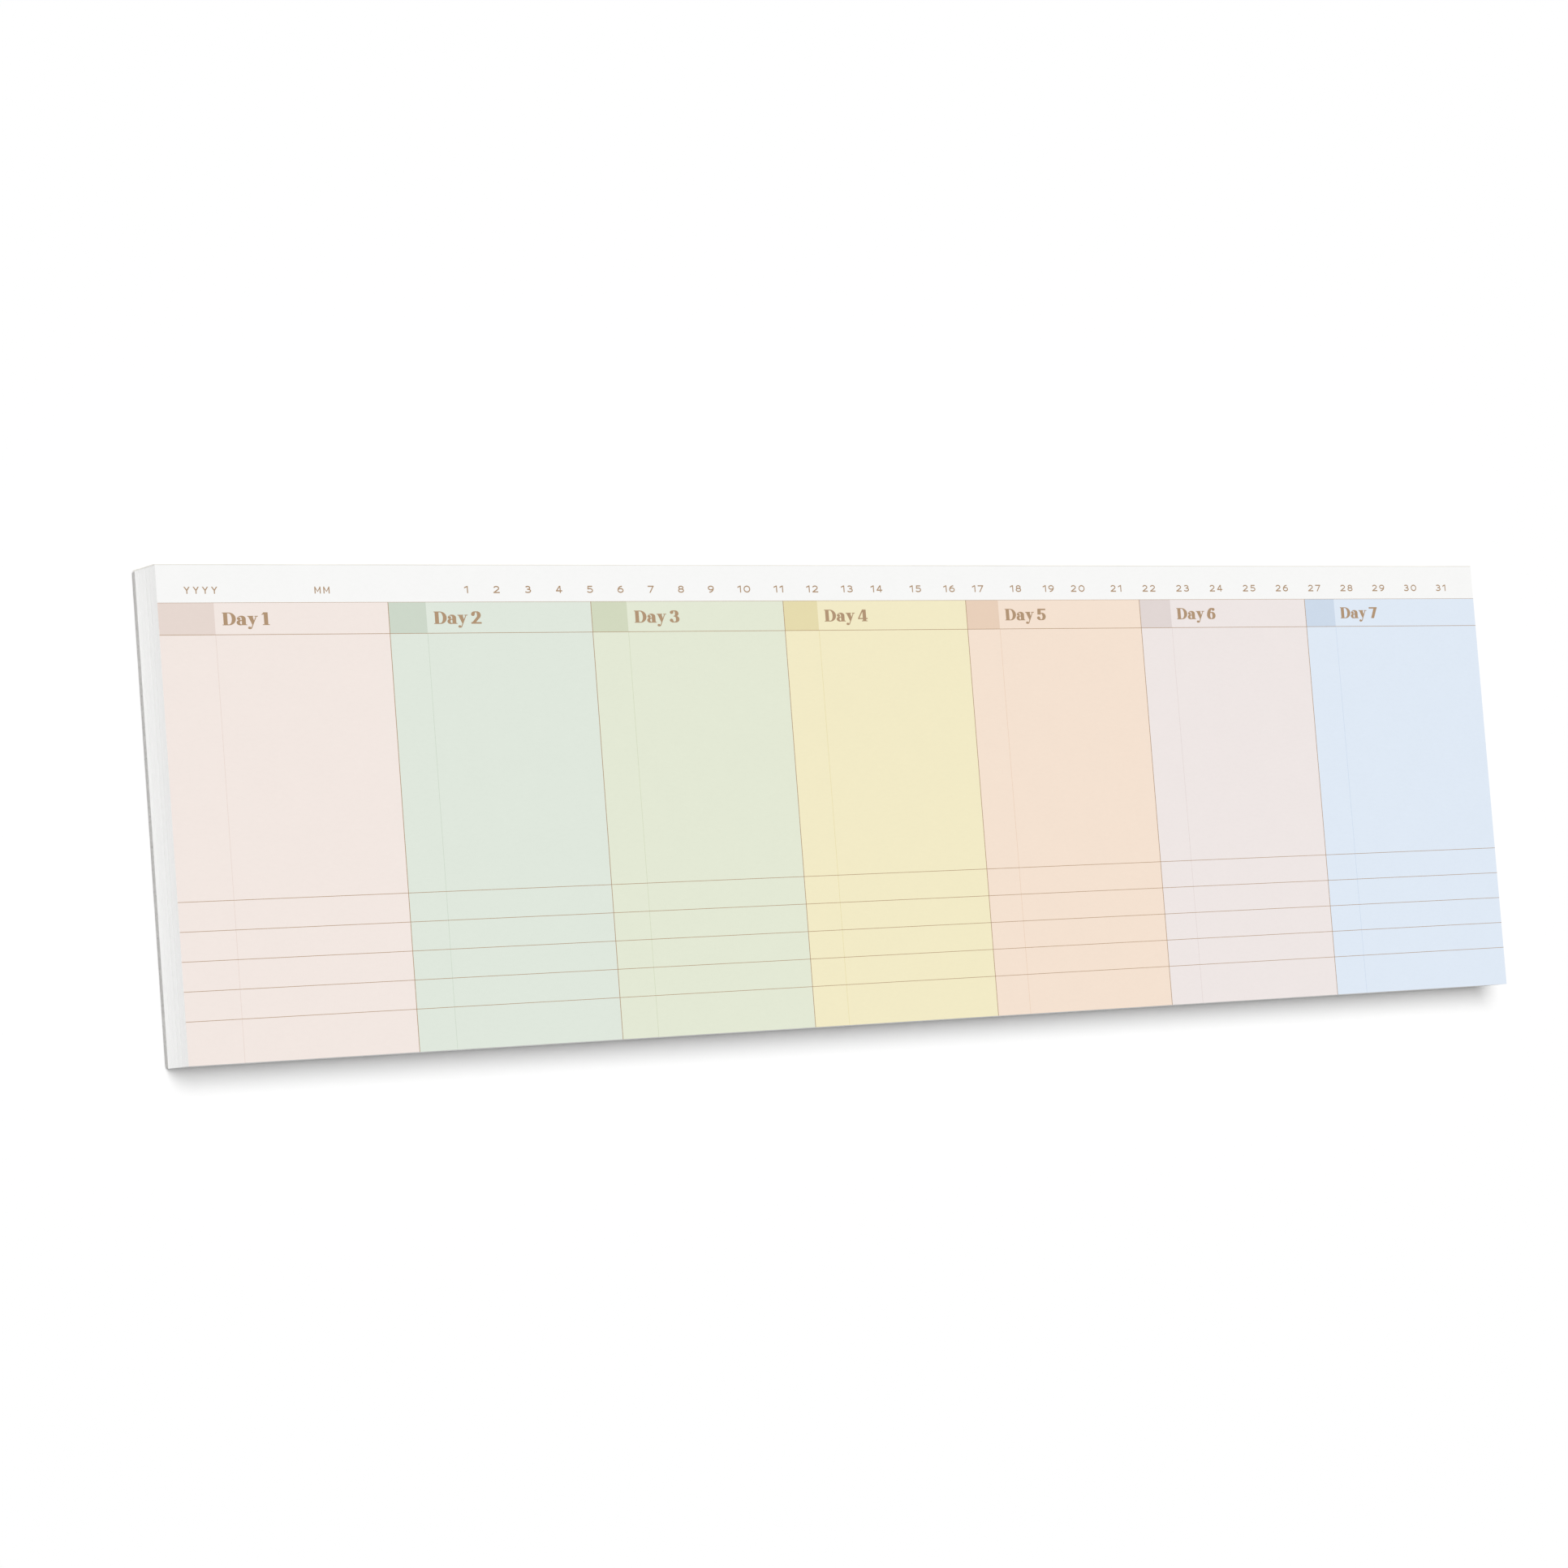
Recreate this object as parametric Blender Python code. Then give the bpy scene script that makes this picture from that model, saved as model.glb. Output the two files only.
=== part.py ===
"""Weekly planner pad: printed tear-off sheets on a greyboard back, glued along the top edge.

The pad lies face up on its board. X runs along the long side in the reading direction, Y runs up
the page to the glued edge, and Z runs up from the underside of the board. Sizes are in metres.
"""

import bmesh
import bpy

# Sheets
SHEET_LENGTH = 0.350
SHEET_HEIGHT = 0.100
PAPER_THICKNESS = 0.000155
AIR_GAP = 0.00002
SHEET_COUNT = 52

# Backing board
BOARD_THICKNESS = 0.0013
BOARD_EDGE_RADIUS = 0.0004
BOARD_EDGE_SEGMENTS = 3

# Glue film on the top long edge
GLUE_THICKNESS = 0.0003
GLUE_SEAT_GAP = 0.00002
GLUE_FOOT_HEIGHT = 0.0005
GLUE_EDGE_RADIUS = 0.0001
GLUE_EDGE_SEGMENTS = 2

# Places that follow from the sizes
SHEET_PITCH = PAPER_THICKNESS + AIR_GAP
PAD_THICKNESS = BOARD_THICKNESS + SHEET_COUNT * SHEET_PITCH
PAD_DEPTH = SHEET_HEIGHT + GLUE_SEAT_GAP + GLUE_THICKNESS
FREE_EDGE_Y = -PAD_DEPTH / 2
GLUED_EDGE_Y = FREE_EDGE_Y + SHEET_HEIGHT
SHEET_CENTRE_Y = FREE_EDGE_Y + SHEET_HEIGHT / 2

# The film stops halfway up the top sheet's edge, so that the sheet clears it when it is turned over.
GLUE_TOP = PAD_THICKNESS - PAPER_THICKNESS / 2
GLUE_CENTRE_Y = GLUED_EDGE_Y + GLUE_SEAT_GAP + GLUE_THICKNESS / 2

# A rounded edge takes at most this share of the wall that it is cut from.
LARGEST_ROUND_SHARE = 0.45


def clear_scene():
    for old in list(bpy.data.objects):
        bpy.data.objects.remove(old)


def new_collection(name):
    collection = bpy.data.collections.new(name)
    bpy.context.scene.collection.children.link(collection)
    return collection


def principled(name, colour, roughness):
    material = bpy.data.materials.new(name)
    material.use_nodes = True
    shader = material.node_tree.nodes["Principled BSDF"]
    shader.inputs["Base Color"].default_value = (*colour, 1.0)
    shader.inputs["Roughness"].default_value = roughness
    shader.inputs["Metallic"].default_value = 0.0
    return material


def box_mesh(name, length, depth, height):
    """A box centred on its own origin."""
    mesh = bpy.data.meshes.new(name)
    shape = bmesh.new()
    bmesh.ops.create_cube(shape, size=1.0)
    bmesh.ops.scale(shape, vec=(length, depth, height), verts=shape.verts)
    shape.to_mesh(mesh)
    shape.free()
    return mesh


def round_edges(mesh, chosen, radius, segments):
    """Rounds the edges that chosen(middle of the edge) accepts."""
    shape = bmesh.new()
    shape.from_mesh(mesh)
    edges = [e for e in shape.edges if chosen((e.verts[0].co + e.verts[1].co) / 2)]
    bmesh.ops.bevel(
        shape,
        geom=edges,
        offset=radius,
        offset_type="OFFSET",
        segments=segments,
        profile=0.5,
        affect="EDGES",
        material=-1,
    )
    shape.to_mesh(mesh)
    shape.free()


def place(name, mesh, material, collection, parent, location):
    """An object at a place in the pad's frame, held by its parent empty."""
    piece = bpy.data.objects.new(name, mesh)
    if material.name not in mesh.materials:
        mesh.materials.append(material)
    collection.objects.link(piece)
    piece.parent = parent
    piece.location = [at - held for at, held in zip(location, parent.location)]
    return piece


def empty(name, collection, location):
    anchor = bpy.data.objects.new(name, None)
    anchor.location = location
    collection.objects.link(anchor)
    return anchor


def make_backing_board(collection, parent):
    """A stiff board of the sheets' outline, with the edges of its underside worn round."""
    greyboard = principled("greyboard", (0.42, 0.42, 0.42), 0.9)
    mesh = box_mesh("backing_board", SHEET_LENGTH, SHEET_HEIGHT, BOARD_THICKNESS)
    underside = -BOARD_THICKNESS / 2
    radius = min(BOARD_EDGE_RADIUS, LARGEST_ROUND_SHARE * BOARD_THICKNESS)
    round_edges(mesh, lambda middle: middle.z < underside / 2, radius, BOARD_EDGE_SEGMENTS)
    location = (0.0, SHEET_CENTRE_Y, BOARD_THICKNESS / 2)
    return place("backing_board", mesh, greyboard, collection, parent, location)


def make_sheets(collection, pad, leaf_hinge):
    """The stack of sheets. Number 01 is on top and turns on the glue line."""
    paper = principled("sheet_paper", (0.92, 0.91, 0.89), 0.85)
    mesh = box_mesh("week_sheet", SHEET_LENGTH, SHEET_HEIGHT, PAPER_THICKNESS)
    for number in range(1, SHEET_COUNT + 1):
        top = PAD_THICKNESS - (number - 1) * SHEET_PITCH
        location = (0.0, SHEET_CENTRE_Y, top - PAPER_THICKNESS / 2)
        parent = leaf_hinge if number == 1 else pad
        place(f"week_sheet_{number:02d}", mesh, paper, collection, parent, location)


def make_glue_strip(collection, parent):
    """The film that holds the sheets to each other and to the board."""
    glue = principled("padding_glue", (0.86, 0.85, 0.80), 0.45)
    height = GLUE_TOP - GLUE_FOOT_HEIGHT
    mesh = box_mesh("glue_strip", SHEET_LENGTH, GLUE_THICKNESS, height)
    outside = GLUE_THICKNESS / 2
    radius = min(GLUE_EDGE_RADIUS, LARGEST_ROUND_SHARE * GLUE_THICKNESS)
    round_edges(mesh, lambda middle: middle.y > outside / 2, radius, GLUE_EDGE_SEGMENTS)
    location = (0.0, GLUE_CENTRE_Y, GLUE_FOOT_HEIGHT + height / 2)
    return place("glue_strip", mesh, glue, collection, parent, location)


def main():
    clear_scene()
    collection = new_collection("weekly_planner_pad")
    pad = empty("pad_block", collection, (0.0, 0.0, 0.0))
    leaf_hinge = empty("leaf_hinge", collection, (0.0, GLUED_EDGE_Y, PAD_THICKNESS))
    make_backing_board(collection, pad)
    make_sheets(collection, pad, leaf_hinge)
    make_glue_strip(collection, pad)


main()
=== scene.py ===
"""Finish of a weekly planner pad: printed sheets, paper block, greyboard back, padding glue and stage."""

import math
import random
from collections import namedtuple

import bmesh
import bpy
from bpy.props import FloatProperty, FloatVectorProperty, IntProperty, PointerProperty
from bpy.types import Operator, Panel, PropertyGroup
from mathutils import Euler, Matrix, Vector, noise
from mathutils.geometry import delaunay_2d_cdt


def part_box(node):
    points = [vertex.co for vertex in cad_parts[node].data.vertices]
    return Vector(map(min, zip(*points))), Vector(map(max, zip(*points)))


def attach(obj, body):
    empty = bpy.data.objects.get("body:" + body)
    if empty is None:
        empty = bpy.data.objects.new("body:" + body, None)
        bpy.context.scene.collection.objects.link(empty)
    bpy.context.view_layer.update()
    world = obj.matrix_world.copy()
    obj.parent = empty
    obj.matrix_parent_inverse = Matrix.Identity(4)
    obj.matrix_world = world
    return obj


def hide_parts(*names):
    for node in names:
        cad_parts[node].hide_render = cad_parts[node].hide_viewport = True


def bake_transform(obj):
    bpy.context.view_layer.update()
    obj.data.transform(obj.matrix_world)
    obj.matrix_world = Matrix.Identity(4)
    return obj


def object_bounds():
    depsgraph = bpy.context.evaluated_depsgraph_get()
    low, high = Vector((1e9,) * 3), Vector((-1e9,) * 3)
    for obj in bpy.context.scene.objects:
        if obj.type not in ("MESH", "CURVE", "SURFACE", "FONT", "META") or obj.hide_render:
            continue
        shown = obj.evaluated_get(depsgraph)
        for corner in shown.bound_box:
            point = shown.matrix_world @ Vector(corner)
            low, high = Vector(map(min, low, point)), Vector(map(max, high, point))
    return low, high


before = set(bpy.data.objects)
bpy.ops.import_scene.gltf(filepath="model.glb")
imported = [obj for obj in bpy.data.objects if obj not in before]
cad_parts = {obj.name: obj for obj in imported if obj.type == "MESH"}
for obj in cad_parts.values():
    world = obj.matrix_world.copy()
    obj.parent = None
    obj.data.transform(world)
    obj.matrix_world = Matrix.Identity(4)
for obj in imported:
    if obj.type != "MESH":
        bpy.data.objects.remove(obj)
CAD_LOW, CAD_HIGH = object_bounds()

bl_info = {
    "name": "Planner Pad Finish",
    "version": (1, 0, 0),
    "blender": (4, 5, 0),
    "location": "View3D > Sidebar > Planner Pad",
    "description": "Prints, stacks and stages a glued weekly planner pad",
    "category": "Object",
}

# Nodes and bodies of the frame
PAD_BODY = "pad_block"
LEAF_BODY = "top_sheet"
BOARD_NODE = "backing_board"
GLUE_NODE = "glue_strip"
SHEET_NODES = sorted(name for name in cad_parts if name.startswith("week_sheet_"))

# A printed page: the word in its pieces' names, its sheet, what carries it and whether it turns
Page = namedtuple("Page", "label node body turns")
PAGES = (
    Page("top", SHEET_NODES[0], LEAF_BODY, True),
    Page("second", SHEET_NODES[1], PAD_BODY, False),
)
PAGE_LOW, PAGE_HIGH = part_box(SHEET_NODES[0])
PAGE_LENGTH = PAGE_HIGH.x - PAGE_LOW.x

# The sheets below the printed ones
STACK_NODES = SHEET_NODES[len(PAGES) :]

# Seed of the sheets' jog, step through the noise from sheet to sheet, and cuts in each wave of an edge
JOG_SEED = 7
SHEET_NOISE_STEP = 1.7
CUTS_PER_WAVE = 4

# How many times longer than high the glue's brush marks are
BRUSH_DRAW = 3.0

# Lower edge of the glue: how many waves it has in one of a sheet's, and its own row of the noise
GLUE_WAVES = 4.0
GLUE_NOISE_ROW = 2.0

# What is printed, and the dates that stand left of their even place
DAYS = 7
LAST_DATE = 31
DATE_HINTS = ("YYYY", "MM")
SHIFTED_DATES = (14, 17, 20)

# The attribute that holds each face's tint, and the least Z of a printed face's normal
TINT = "page_tint"
FACING_UP = 0.5

# Axes, and the length below which lengths count as none
X, Y, Z = range(3)
MERGE = 1e-7

# Steps of a rounded edge, and the least angle of an edge that stays sharp
BEVEL_STEPS = 6
SHARP_ANGLE = math.radians(30)


def tone(code):
    """The linear colour of a six-figure sRGB code."""
    parts = [int(code[i : i + 2], 16) / 255 for i in (0, 2, 4)]
    return tuple(p / 12.92 if p <= 0.04045 else ((p + 0.055) / 1.055) ** 2.4 for p in parts)


def number(name, description, default, **kind):
    """A property for a number that is 0 or more."""
    return FloatProperty(name=name, description=description, default=default, min=0.0, **kind)


def length(name, description, default):
    """A property for a length in metres."""
    return number(name, description, default, precision=6, unit="LENGTH", subtype="DISTANCE")


def share(name, description, default):
    """A property for a share from 0 to 1."""
    return number(name, description, default, max=1.0, subtype="FACTOR")


def colour(name, description, code):
    """A property for a surface colour."""
    return FloatVectorProperty(
        name=name, description=description, default=tone(code), min=0.0, max=1.0, subtype="COLOR"
    )


class PlannerPageSettings(PropertyGroup):
    """Layout of the printed page, measured from the sheet's left edge and down from its glued edge."""

    side_margin: length("Side margin", "Strip outside the columns at each end", 0.00362)
    strip_depth: length("Date strip", "Height of the plain strip above the columns", 0.00765)
    band_depth: length("Day band", "Height of the band that holds the day headings", 0.00647)
    tab_width: length("Tab width", "Width of the darker tab at the left of each column", 0.00891)
    first_rule: length("First rule", "How far down the page the ruled lines start", 0.06750)
    rule_pitch: length("Rule pitch", "Distance from one ruled line to the next", 0.00594)
    rule_count: IntProperty(
        name="Rules", description="How many ruled lines close the page", default=5, min=0
    )
    rule_width: length("Rule width", "Width of a ruled line", 0.000104)
    strip_rule_width: length("Strip line width", "Width of the line under the date strip", 0.000065)
    band_rule_width: length("Band line width", "Width of the line under the day headings", 0.000105)
    column_rule_width: length("Column line width", "Width of the line between two columns", 0.000143)
    tab_rule_width: length("Tab line width", "Width of the faint line under each tab", 0.000100)
    ink_room: length("Ink room", "How far the bare paper lies below the sheet's full thickness", 0.000022)
    ink_height: length("Ink height", "How far the ink stands on the paper", 0.000020)
    ink_step: length("Ink step", "How much lower each fainter kind of line is", 0.000003)
    ink_root: length("Ink root", "How far the ink soaks into the paper", 0.000004)
    bend_depth: length("Bend depth", "How far from the glued edge a turned sheet curls", 0.0074)
    bend_step: length("Bend step", "Distance between the cuts that let a sheet curl", 0.00020)


class PlannerTypeSettings(PropertyGroup):
    """Sizes and places of the generic lettering on the page, from the sheet's left and glued edges."""

    day_indent: length("Day indent", "From a column's left line to its day heading", 0.01062)
    day_height: length("Day height", "Height of a day heading's capital", 0.00258)
    day_baseline: length("Day baseline", "How far down the page the day headings stand", 0.01220)
    date_height: length("Date height", "Height of the date numbers", 0.00152)
    date_baseline: length("Date baseline", "How far down the page the date numbers stand", 0.00582)
    first_date: length("First date", "Where the row of numbers starts", 0.07095)
    last_date: length("Last date", "Where the row of numbers ends", 0.34145)
    date_shift: length("Date shift", "How far left of its place a shifted number stands", 0.00130)
    year_hint: length("Year hint", "Where the hint for the year starts", 0.00600)
    month_hint: length("Month hint", "Where the hint for the month starts", 0.03570)
    hint_height: length("Hint height", "Height of the two hints", 0.00142)
    day_stretch: number("Day stretch", "How wide the day headings are drawn", 1.30)
    day_gap: number("Day gap", "Space between two letters, in capital heights", 0.035)
    day_space: number("Day space", "Extra space before a heading's number, in capital heights", 0.16)
    figure_width: number("Figure width", "Width of a number, in its height", 1.0)
    figure_weight: number("Figure weight", "Stroke of a number, in its height", 0.165)
    figure_gap: number("Figure gap", "Space inside a number, in its height", 0.45)


class PlannerInkSettings(PropertyGroup):
    """Colours of paper, tints and ink."""

    paper: colour("Paper", "Bare paper of the printed sheets", "F7F7F6")
    line: colour("Ink", "Lines, day headings and date numbers", "B09273")
    tint_1: colour("First tint", "Rose column", "F2E7E1")
    tint_2: colour("Second tint", "Mint column", "DFE7DC")
    tint_3: colour("Third tint", "Sage column", "E3E8D4")
    tint_4: colour("Fourth tint", "Straw column", "F2EAC6")
    tint_5: colour("Fifth tint", "Peach column", "F4E1D0")
    tint_6: colour("Sixth tint", "Mauve column", "EEE6E4")
    tint_7: colour("Seventh tint", "Sky column", "DFE9F5")
    tab_strength: number("Tab strength", "Layers of its column's tint in a tab", 1.4)
    tab_shade: share("Tab shade", "How much a tab is dimmed as well", 0.070)


class PlannerBlockSettings(PropertyGroup):
    """The block of sheets, the board behind it and the glue along its top."""

    # Painted light and shade: the block's sheets are painted lightest at the foot of the pad and darker
    # towards its top
    paper_tone: colour("Block paper", "Cut edges of the paper block, at its foot", "FEFEFD")
    tone_drop: share("Tone drop", "How much darker the darkest sheet is", 0.05)
    # Painted shade that darkens the sheets from the foot of the pad to its top
    tone_fall: share("Tone fall", "How much the tone falls from the foot of the pad to its top", 0.10)
    fine_jog: length("Fine jog", "How far most sheets lie inside the trimmed edge", 0.000025)
    coarse_jog: length("Coarse jog", "How far stray sheets lie inside the trimmed edge", 0.000110)
    stray_share: share("Stray share", "Share of the sheets that stray", 0.14)
    edge_wave: length("Edge wave", "How much a trimmed edge wanders along a sheet", 0.000020)
    wave_length: length("Wave length", "Distance over which a trimmed edge wanders", 0.040)
    board: colour("Greyboard", "Board behind the sheets", "C1C0BE")
    board_radius: length("Board rounding", "Rounding of the board's lower edges", 0.00025)
    board_corner: length("Board corner", "Rounding of the board's upright corners", 0.0005)
    glue: colour("Padding glue", "Film of glue along the top edge", "F5F3EC")
    glue_dimple: length("Glue dimple", "How much the brushed film varies in thickness", 0.00011)
    glue_grain: length("Glue grain", "Size of the brush marks along the film", 0.004)
    glue_step: length("Glue step", "Distance between the cuts that shape the film", 0.0010)
    glue_wander: length("Glue wander", "How much the film's lower edge wanders", 0.00030)
    glue_ridge: length("Glue ridge", "Distance between sheet edges that show through the film", 0.000175)


class PlannerStudioSettings(PropertyGroup):
    """Camera, light and floor."""

    camera_place: FloatVectorProperty(
        name="Camera place",
        description="Where the camera stands",
        default=(-0.6226, -0.0722, 0.8828),
        subtype="TRANSLATION",
        unit="LENGTH",
    )
    camera_turn: FloatVectorProperty(
        name="Camera turn",
        description="How the camera is turned from looking straight down",
        default=(math.radians(7.007), math.radians(-33.859), math.radians(-5.285)),
        subtype="EULER",
    )
    lens: number("Lens", "Focal length on a 36 mm sensor", 112.9, unit="CAMERA")
    key_share: number("Key share", "Light on the page from the key lamp", 0.55)
    sky_share: number("Sky share", "Light on the page from all round", 0.46)
    key_from: FloatVectorProperty(
        name="Key direction",
        description="Towards the key lamp",
        default=(-0.30, 0.26, 0.92),
        subtype="DIRECTION",
    )
    key_spread: number("Key spread", "Angle of the key lamp's disc", math.radians(33), subtype="ANGLE")
    floor: colour("Floor", "Plain pale floor", "FEFEFE")
    floor_reach: length("Floor reach", "Half the width of the floor", 12.0)
    floor_gap: length("Floor gap", "How far the floor lies below the pad", 0.00005)


# Bmesh helpers


def block(bm, low, high):
    """Adds a box between two corners."""
    low, high = Vector(low), Vector(high)
    place = Matrix.Translation((low + high) / 2) @ Matrix.Diagonal((*(high - low), 1.0))
    bmesh.ops.create_cube(bm, size=1.0, matrix=place)


def extent(bm, axis):
    """Lowest and highest place of a mesh on an axis."""
    places = [vert.co[axis] for vert in bm.verts]
    return min(places), max(places)


def cut(bm, axis, place):
    """Cuts the whole mesh across an axis."""
    normal = Vector.Fill(3)
    normal[axis] = 1.0
    everything = bm.verts[:] + bm.edges[:] + bm.faces[:]
    bmesh.ops.bisect_plane(bm, geom=everything, dist=MERGE, plane_co=place * normal, plane_no=normal)


def cut_rows(bm, first, last, step):
    """Cuts the mesh across the page at even steps from one Y to another."""
    count = max(1, math.ceil(abs(last - first) / step))
    for i in range(1, count):
        cut(bm, Y, first + (last - first) * i / count)


def thicken(bm, depth):
    """Gives flat faces a thickness, downwards, and closes them."""
    made = bmesh.ops.extrude_face_region(bm, geom=bm.faces[:])["geom"]
    lowered = [item for item in made if isinstance(item, bmesh.types.BMVert)]
    bmesh.ops.translate(bm, verts=lowered, vec=(0.0, 0.0, -depth))


def paint(bm, choose):
    """Writes the tint that choose gives for each face."""
    layer = bm.loops.layers.float_color.new(TINT)
    for face in bm.faces:
        shade = (*choose(face), 1.0)
        for loop in face.loops:
            loop[layer] = shade


def half_noise(spot):
    """Smooth noise from 0 to 1."""
    return min(1.0, max(0.0, 0.5 + noise.noise(spot)))


def finish_piece(name, bm, material):
    """Turns a bmesh into a piece at the origin, with its faces outwards."""
    bmesh.ops.recalc_face_normals(bm, faces=bm.faces[:])
    mesh = bpy.data.meshes.new(name)
    bm.to_mesh(mesh)
    bm.free()
    mesh.shade_smooth()
    mesh.set_sharp_from_angle(angle=SHARP_ANGLE)
    mesh.materials.append(material)
    piece = bpy.data.objects.new(name, mesh)
    bpy.context.scene.collection.objects.link(piece)
    return piece


# Material helpers


def feed(tree, value, socket):
    """Gives a socket its value, from another socket or as a number or numbers."""
    if isinstance(value, bpy.types.NodeSocket):
        tree.links.new(value, socket)
    else:
        socket.default_value = value


def new_material(name):
    """A node material and its shader."""
    material = bpy.data.materials.new(name)
    material.use_nodes = True
    return material, material.node_tree.nodes["Principled BSDF"]


def object_noise(tree, grain, stretch=(1.0, 1.0, 1.0), detail=4.0):
    """Noise fixed to the piece, with features about one grain across, drawn out by stretch."""
    place = tree.nodes.new("ShaderNodeTexCoord")
    mapping = tree.nodes.new("ShaderNodeMapping")
    mapping.inputs["Scale"].default_value = [1.0 / (grain * s) for s in stretch]
    tree.links.new(place.outputs["Object"], mapping.inputs["Vector"])
    texture = tree.nodes.new("ShaderNodeTexNoise")
    texture.inputs["Scale"].default_value = 1.0
    texture.inputs["Detail"].default_value = detail
    tree.links.new(mapping.outputs["Vector"], texture.inputs["Vector"])
    return texture.outputs["Fac"]


def product(tree, first, second):
    """Two factors multiplied."""
    node = tree.nodes.new("ShaderNodeMath")
    node.operation = "MULTIPLY"
    feed(tree, first, node.inputs[0])
    feed(tree, second, node.inputs[1])
    return node.outputs["Value"]


def ridges(tree, pitch):
    """Even ridges up the piece, one to each pitch, from -1 to 1."""
    place = tree.nodes.new("ShaderNodeTexCoord")
    parts = tree.nodes.new("ShaderNodeSeparateXYZ")
    tree.links.new(place.outputs["Object"], parts.inputs["Vector"])
    wave = tree.nodes.new("ShaderNodeMath")
    wave.operation = "SINE"
    tree.links.new(product(tree, parts.outputs["Z"], math.tau / pitch), wave.inputs[0])
    return wave.outputs["Value"]


def spread(tree, value, low, high, start=0.25, stop=0.75):
    """Maps a value between start and stop to the range from low to high."""
    node = tree.nodes.new("ShaderNodeMapRange")
    node.inputs["From Min"].default_value = start
    node.inputs["From Max"].default_value = stop
    node.inputs["To Min"].default_value = low
    node.inputs["To Max"].default_value = high
    tree.links.new(value, node.inputs["Value"])
    return node.outputs["Result"]


def dimmed(tree, base, factor):
    """A colour times a factor."""
    node = tree.nodes.new("ShaderNodeVectorMath")
    node.operation = "SCALE"
    feed(tree, base, node.inputs["Vector"])
    tree.links.new(factor, node.inputs["Scale"])
    return node.outputs["Vector"]


def painted(tree):
    """The tint painted on each face."""
    node = tree.nodes.new("ShaderNodeAttribute")
    node.attribute_name = TINT
    return node.outputs["Color"]


def emboss(tree, shader, height, distance, strength):
    """Bumps a surface by a height."""
    node = tree.nodes.new("ShaderNodeBump")
    node.inputs["Strength"].default_value = strength
    node.inputs["Distance"].default_value = distance
    tree.links.new(height, node.inputs["Height"])
    tree.links.new(node.outputs["Normal"], shader.inputs["Normal"])


def kept(make):
    """A material made once, under the name of the function that makes it, and then shared."""
    return bpy.data.materials.get(make.__name__) or make(make.__name__)


def printed_paper(name):
    """Matt uncoated paper: the tint of each face, clouded by the fibres and lightly toothed."""
    material, shader = new_material(name)
    tree = material.node_tree
    cloud = spread(tree, object_noise(tree, grain=0.006), low=0.994, high=1.004)
    fibres = object_noise(tree, grain=0.0006, stretch=(2.2, 1.0, 1.0), detail=6.0)
    mottle = product(tree, cloud, spread(tree, fibres, low=0.991, high=1.006))
    tree.links.new(dimmed(tree, painted(tree), mottle), shader.inputs["Base Color"])
    tooth = object_noise(tree, grain=0.00025, detail=3.0)
    tree.links.new(spread(tree, tooth, low=0.86, high=0.96), shader.inputs["Roughness"])
    emboss(tree, shader, tooth, distance=0.00001, strength=0.25)
    shader.inputs["Specular IOR Level"].default_value = 0.25
    return material


def block_paper(name):
    """Cut edges of the paper block: the tone of each sheet, painted darker towards the top of the pad as
    shade, with a fine drag of the trimming blade.
    """
    material, shader = new_material(name)
    tree = material.node_tree
    blade = object_noise(tree, grain=0.0012, stretch=(1.0, 1.0, 0.15), detail=3.0)
    drag = spread(tree, blade, low=0.975, high=1.012)
    tree.links.new(dimmed(tree, painted(tree), drag), shader.inputs["Base Color"])
    shader.inputs["Roughness"].default_value = 0.92
    shader.inputs["Specular IOR Level"].default_value = 0.2
    return material


def printing_ink(name):
    """Flat tan ink, a little uneven where the paper took less of it."""
    material, shader = new_material(name)
    tree = material.node_tree
    cover = object_noise(tree, grain=0.0004, detail=3.0)
    density = spread(tree, cover, low=0.95, high=1.05)
    ink = dimmed(tree, bpy.context.scene.planner_ink.line, density)
    tree.links.new(ink, shader.inputs["Base Color"])
    tree.links.new(spread(tree, cover, low=0.62, high=0.80), shader.inputs["Roughness"])
    shader.inputs["Specular IOR Level"].default_value = 0.3
    return material


def recycled_greyboard(name):
    """Recycled board: grey pulp in layers, with pale and dark flecks of old fibre."""
    material, shader = new_material(name)
    tree = material.node_tree
    layers = object_noise(tree, grain=0.0008, stretch=(24.0, 24.0, 0.22), detail=3.0)
    mottle = object_noise(tree, grain=0.0006, stretch=(2.5, 1.4, 0.6), detail=6.0)
    dark_flecks = object_noise(tree, grain=0.0009, stretch=(1.8, 1.0, 0.7), detail=2.0)
    pale_flecks = object_noise(tree, grain=0.0007, stretch=(1.0, 1.9, 0.7), detail=2.0)
    pulp = product(
        tree,
        spread(tree, layers, low=0.90, high=1.07),
        spread(tree, mottle, low=0.84, high=1.14),
    )
    flecks = product(
        tree,
        spread(tree, dark_flecks, low=1.0, high=0.66, start=0.64, stop=0.70),
        spread(tree, pale_flecks, low=1.22, high=1.0, start=0.29, stop=0.35),
    )
    board = dimmed(tree, bpy.context.scene.planner_block.board, product(tree, pulp, flecks))
    tree.links.new(board, shader.inputs["Base Color"])
    tooth = object_noise(tree, grain=0.0004, stretch=(2.0, 1.0, 1.0))
    tree.links.new(spread(tree, tooth, low=0.85, high=0.97), shader.inputs["Roughness"])
    emboss(tree, shader, tooth, distance=0.00004, strength=0.6)
    shader.inputs["Specular IOR Level"].default_value = 0.2
    return material


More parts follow.
